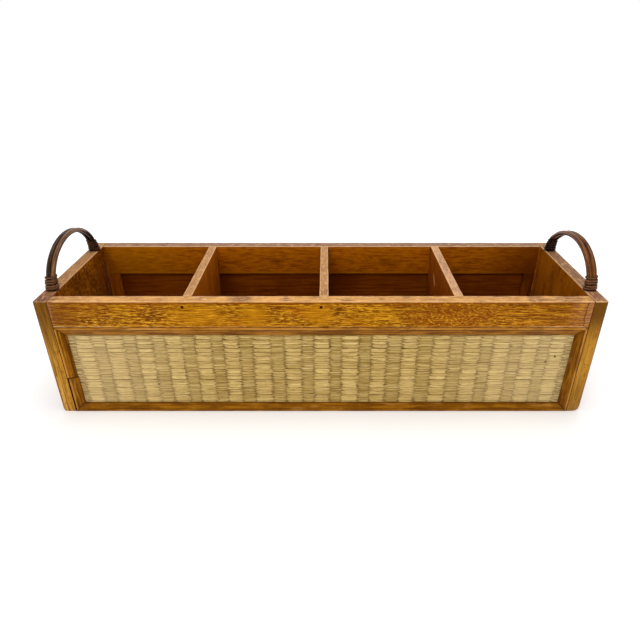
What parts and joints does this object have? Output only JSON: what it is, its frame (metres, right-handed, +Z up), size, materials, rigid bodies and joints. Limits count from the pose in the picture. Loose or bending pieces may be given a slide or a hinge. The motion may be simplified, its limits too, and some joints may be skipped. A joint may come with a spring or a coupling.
{
  "type": "storage caddy",
  "caption": "Long open wooden caddy with divided compartments, woven mat panels framed by mitred moulding, and bound rattan arch handles on the end boards.",
  "frame": {"origin": "middle of the underside, on the surface that the caddy stands on", "axes": "+X along the length, towards the right as seen from the front; -Y out of the front face; +Z up"},
  "size_m": [0.61, 0.1798, 0.1919],
  "materials": {
    "end_wood": "glossy brown varnish, worn at the edges",
    "rail_wood": "glossy golden-brown varnish with light flecks along the grain",
    "divider_wood": "satin brown varnish with a paler worn top edge",
    "moulding_wood": "satin brown varnish with a pale worn bead",
    "panel_wood": "dark brown varnish",
    "rush_mat": "woven rush, matte straw colour",
    "rattan_outer": "dark smooth cane, satin",
    "rattan_inner": "mid-brown smooth cane, satin",
    "rattan_binding": "dark brown split cane, satin",
    "nail_steel": "dulled under varnish"
  },
  "bodies": {
    "root": {"left_end_board": "end_wood", "right_end_board": "end_wood", "front_top_rail": "rail_wood", "rear_top_rail": "rail_wood", "front_bottom_rail": "rail_wood", "rear_bottom_rail": "rail_wood", "front_left_stile": "rail_wood", "front_right_stile": "rail_wood", "rear_left_stile": "rail_wood", "rear_right_stile": "rail_wood", "front_backing_panel": "panel_wood", "rear_backing_panel": "panel_wood", "front_woven_mat": "rush_mat", "rear_woven_mat": "rush_mat", "front_moulding_top": "moulding_wood", "front_moulding_bottom": "moulding_wood", "front_moulding_right": "moulding_wood", "front_moulding_left_upper": "moulding_wood", "front_moulding_left_lower": "moulding_wood", "rear_moulding_top": "moulding_wood", "rear_moulding_bottom": "moulding_wood", "rear_moulding_left": "moulding_wood", "rear_moulding_right": "moulding_wood", "left_divider": "divider_wood", "middle_divider": "divider_wood", "right_divider": "divider_wood", "bottom_board": "panel_wood", "left_handle_outer_cane": "rattan_outer", "left_handle_inner_cane": "rattan_inner", "left_handle_front_binding": "rattan_binding", "left_handle_rear_binding": "rattan_binding", "right_handle_outer_cane": "rattan_outer", "right_handle_inner_cane": "rattan_inner", "right_handle_front_binding": "rattan_binding", "right_handle_rear_binding": "rattan_binding", "front_nail_left_divider": "nail_steel", "front_nail_middle_divider": "nail_steel", "front_nail_right_divider": "nail_steel", "rear_nail_left_divider": "nail_steel", "rear_nail_middle_divider": "nail_steel", "rear_nail_right_divider": "nail_steel", "bottom_nail_left_divider": "nail_steel", "bottom_nail_middle_divider": "nail_steel", "bottom_nail_right_divider": "nail_steel", "left_front_corner_nail_upper": "nail_steel", "left_front_corner_nail_lower": "nail_steel", "left_rear_corner_nail_upper": "nail_steel", "left_rear_corner_nail_lower": "nail_steel", "right_front_corner_nail_upper": "nail_steel", "right_front_corner_nail_lower": "nail_steel", "right_rear_corner_nail_upper": "nail_steel", "right_rear_corner_nail_lower": "nail_steel"}
  },
  "joints": []
}
